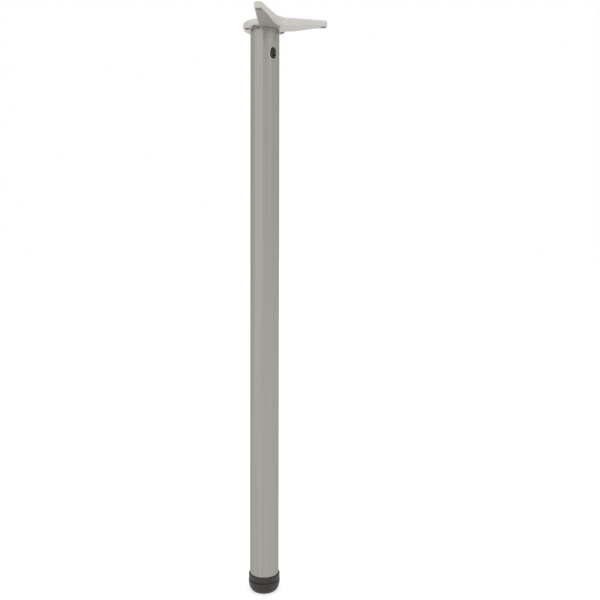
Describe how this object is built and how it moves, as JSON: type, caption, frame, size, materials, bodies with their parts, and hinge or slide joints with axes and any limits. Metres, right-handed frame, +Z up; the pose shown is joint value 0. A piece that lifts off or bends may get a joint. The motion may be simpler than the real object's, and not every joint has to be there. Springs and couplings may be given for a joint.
{
  "type": "table leg",
  "caption": "Round steel table leg with a V-shaped screw-on mounting bracket, a key slot for its lock screw and a levelling foot.",
  "frame": {"origin": "on the tube's axis, at the underside of the foot, screwed right up", "axes": "+Z up along the tube; the bracket's two arms open towards -Y, mirrored about X = 0"},
  "size_m": [0.1608, 0.1182, 1.0055],
  "materials": {
    "cast_bracket": "fine satin die-cast, silver grey",
    "satin_tube": "satin, brushed lengthwise, warm grey",
    "dark_screw": "blackened",
    "black_plastic": "moulded, slightly satin",
    "zinc_steel": "zinc plated"
  },
  "bodies": {
    "leg": {"mounting_bracket": "cast_bracket", "leg_tube": "satin_tube", "lock_screw": "dark_screw", "foot_insert": "black_plastic", "insert_nut": "zinc_steel"},
    "foot": {"foot_glide": "black_plastic", "foot_stem": "zinc_steel"}
  },
  "joints": [
    {"name": "foot_height", "type": "slide", "parent": "leg", "child": "foot", "axis": [0, 0, -1], "range_m": [0, 0.02]}
  ]
}
